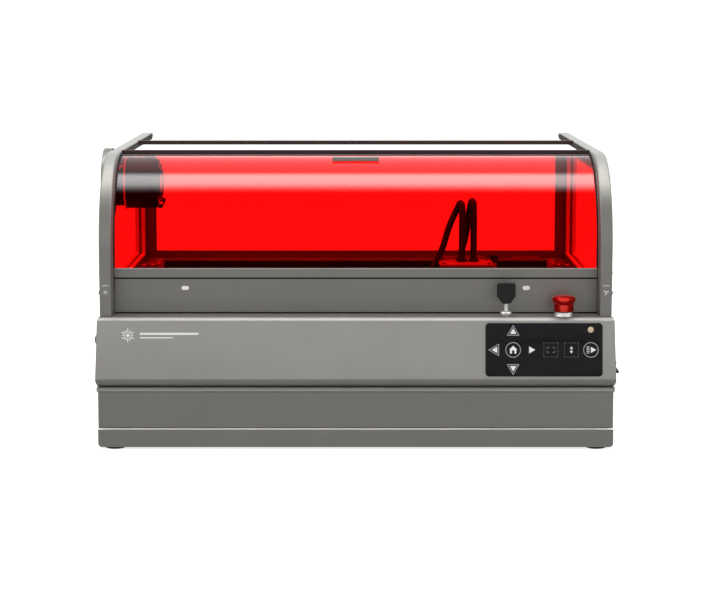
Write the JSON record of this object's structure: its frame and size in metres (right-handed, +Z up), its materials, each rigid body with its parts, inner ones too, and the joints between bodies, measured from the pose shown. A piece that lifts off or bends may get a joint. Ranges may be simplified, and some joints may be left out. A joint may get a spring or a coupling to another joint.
{
  "type": "desktop laser cutter",
  "caption": "Enclosed desktop laser cutter with a curved red-tinted hinged lid, inclined control panel, key switch, stop button, moving laser gantry and a drawer base.",
  "frame": {"origin": "middle of the housing between its two sides and between its front and back faces, on the table under the feet", "axes": "+X to the right seen from the front, -Y out of the front, +Z up"},
  "size_m": [0.659, 0.621, 0.364],
  "materials": {
    "grey_paint": "satin warm grey powder coat",
    "dark_paint": "satin dark grey paint",
    "black_metal": "fine black anodised metal",
    "black_plastic": "fine moulded black plastic",
    "panel_black": "smooth black panel overlay",
    "rubber": "matt rubber",
    "red_sheet": "clear red tinted acrylic, polished",
    "bare_aluminium": "satin bare aluminium",
    "bright_steel": "bright machined steel",
    "red_button": "glossy red plastic",
    "cable_black": "matt black cable jacket",
    "circuit_board": "green solder mask"
  },
  "bodies": {
    "machine": {"foot_front_left": "rubber", "foot_front_right": "rubber", "foot_rear_left": "rubber", "foot_rear_right": "rubber", "base_housing": "grey_paint", "main_housing": "grey_paint", "rear_deck": "grey_paint", "upper_front_panel": "grey_paint", "cheek_left": "grey_paint", "cheek_right": "grey_paint", "side_window_left": "red_sheet", "side_window_right": "red_sheet", "rear_frame": "dark_paint", "rear_window": "red_sheet", "rear_crossbar": "grey_paint", "work_bed": "bare_aluminium", "power_supply": "bare_aluminium", "control_board": "circuit_board", "key_lock": "bright_steel", "estop_collar": "bright_steel", "air_port": "black_plastic", "y_rail_left": "bare_aluminium", "y_rail_right": "bare_aluminium", "y_motor": "black_metal", "exhaust_blower_housing": "black_plastic", "control_fascia": "panel_black"},
    "lid": {"lid_window": "red_sheet", "lid_front_rail": "grey_paint", "lid_front_rib": "black_metal", "lid_rear_rib": "black_metal", "lid_hinge_bar": "black_metal"},
    "gantry": {"x_beam": "black_metal", "gantry_plate_left": "black_metal", "gantry_plate_right": "black_metal", "x_motor": "black_metal"},
    "x_pulley": {"x_drive_pulley": "bright_steel"},
    "carriage": {"carriage_plate": "black_metal"},
    "laser_head": {"laser_module": "bare_aluminium", "laser_nozzle": "bright_steel", "power_cable": "cable_black", "air_hose": "cable_black"},
    "focus_screw": {"focus_screw": "bright_steel"},
    "laser_fan": {"laser_fan": "black_plastic"},
    "y_shaft": {"y_drive_shaft": "bright_steel"},
    "exhaust_fan": {"exhaust_impeller": "black_plastic"},
    "drawer": {"drawer_front": "grey_paint", "drawer_tray": "dark_paint"},
    "key": {"key": "black_plastic"},
    "estop_button": {"estop_head": "red_button"},
    "power_rocker": {"power_rocker": "black_plastic"},
    "light_slider": {"light_slider": "black_plastic"},
    "fan_slider": {"fan_slider": "black_plastic"},
    "panel_key_up": {"panel_key_up": "panel_black"},
    "panel_key_down": {"panel_key_down": "panel_black"},
    "panel_key_left": {"panel_key_left": "panel_black"},
    "panel_key_right": {"panel_key_right": "panel_black"},
    "panel_key_home": {"panel_key_home": "panel_black"},
    "panel_key_frame": {"panel_key_frame": "panel_black"},
    "panel_key_height": {"panel_key_height": "panel_black"},
    "panel_key_start": {"panel_key_start": "panel_black"}
  },
  "joints": [
    {"name": "lid_hinge", "type": "hinge", "parent": "machine", "child": "lid", "pos_m": [0, 0.278, 0.354], "axis": [-1, 0, 0], "range_deg": [0, 65]},
    {"name": "gantry_y", "type": "slide", "parent": "machine", "child": "gantry", "axis": [0, 1, 0], "range_m": [-0.135, 0.12]},
    {"name": "carriage_x", "type": "slide", "parent": "gantry", "child": "carriage", "axis": [1, 0, 0], "range_m": [-0.35, 0.05]},
    {"name": "laser_z", "type": "slide", "parent": "carriage", "child": "laser_head", "axis": [0, 0, 1], "range_m": [-0.015, 0.015]},
    {"name": "focus_screw_turn", "type": "hinge", "parent": "carriage", "child": "focus_screw", "pos_m": [0.188, -0.053, 0.187], "axis": [0, 0, 1], "range_deg": [-676, 676]},
    {"name": "x_pulley_turn", "type": "hinge", "parent": "gantry", "child": "x_pulley", "pos_m": [0.238, -0.02, 0.187], "axis": [0, 1, 0], "range_deg": [-3160, 460]},
    {"name": "y_shaft_turn", "type": "hinge", "parent": "machine", "child": "y_shaft", "pos_m": [0, 0.16, 0.1775], "axis": [1, 0, 0], "range_deg": [-1090, 1225]},
    {"name": "exhaust_fan_spin", "type": "hinge", "parent": "machine", "child": "exhaust_fan", "pos_m": [-0.28255, -0.111, 0.318], "axis": [1, 0, 0], "continuous": true},
    {"name": "laser_fan_spin", "type": "hinge", "parent": "laser_head", "child": "laser_fan", "pos_m": [0.148, -0.118, 0.18275], "axis": [0, 1, 0], "continuous": true},
    {"name": "drawer_slide", "type": "slide", "parent": "machine", "child": "drawer", "axis": [0, -1, 0], "range_m": [0, 0.38]},
    {"name": "key_turn", "type": "hinge", "parent": "machine", "child": "key", "pos_m": [0.188, -0.286, 0.165], "axis": [0, 0, 1], "range_deg": [0, 90]},
    {"name": "estop_press", "type": "slide", "parent": "machine", "child": "estop_button", "axis": [0, 0, -1], "range_m": [0, 0.004]},
    {"name": "power_rocker_tilt", "type": "hinge", "parent": "machine", "child": "power_rocker", "pos_m": [0.3225, -0.288, 0.101], "axis": [0, 1, 0], "range_deg": [0, 18]},
    {"name": "light_slide", "type": "slide", "parent": "machine", "child": "light_slider", "axis": [0, 1, 0], "range_m": [0, 0.004]},
    {"name": "fan_slide", "type": "slide", "parent": "machine", "child": "fan_slider", "axis": [0, 1, 0], "range_m": [0, 0.004]},
    {"name": "panel_key_up_press", "type": "slide", "parent": "machine", "child": "panel_key_up", "axis": [0, 0.9906, -0.1366], "range_m": [0, 0.0008]},
    {"name": "panel_key_down_press", "type": "slide", "parent": "machine", "child": "panel_key_down", "axis": [0, 0.9906, -0.1366], "range_m": [0, 0.0008]},
    {"name": "panel_key_left_press", "type": "slide", "parent": "machine", "child": "panel_key_left", "axis": [0, 0.9906, -0.1366], "range_m": [0, 0.0008]},
    {"name": "panel_key_right_press", "type": "slide", "parent": "machine", "child": "panel_key_right", "axis": [0, 0.9906, -0.1366], "range_m": [0, 0.0008]},
    {"name": "panel_key_home_press", "type": "slide", "parent": "machine", "child": "panel_key_home", "axis": [0, 0.9906, -0.1366], "range_m": [0, 0.0008]},
    {"name": "panel_key_frame_press", "type": "slide", "parent": "machine", "child": "panel_key_frame", "axis": [0, 0.9906, -0.1366], "range_m": [0, 0.0008]},
    {"name": "panel_key_height_press", "type": "slide", "parent": "machine", "child": "panel_key_height", "axis": [0, 0.9906, -0.1366], "range_m": [0, 0.0008]},
    {"name": "panel_key_start_press", "type": "slide", "parent": "machine", "child": "panel_key_start", "axis": [0, 0.9906, -0.1366], "range_m": [0, 0.0008]}
  ],
  "couplings": [
    {"joint": "focus_screw_turn", "follows": "laser_z", "rad_per_m": 785.4},
    {"joint": "x_pulley_turn", "follows": "carriage_x", "rad_per_m": 157.08},
    {"joint": "y_shaft_turn", "follows": "gantry_y", "rad_per_m": -157.08}
  ]
}
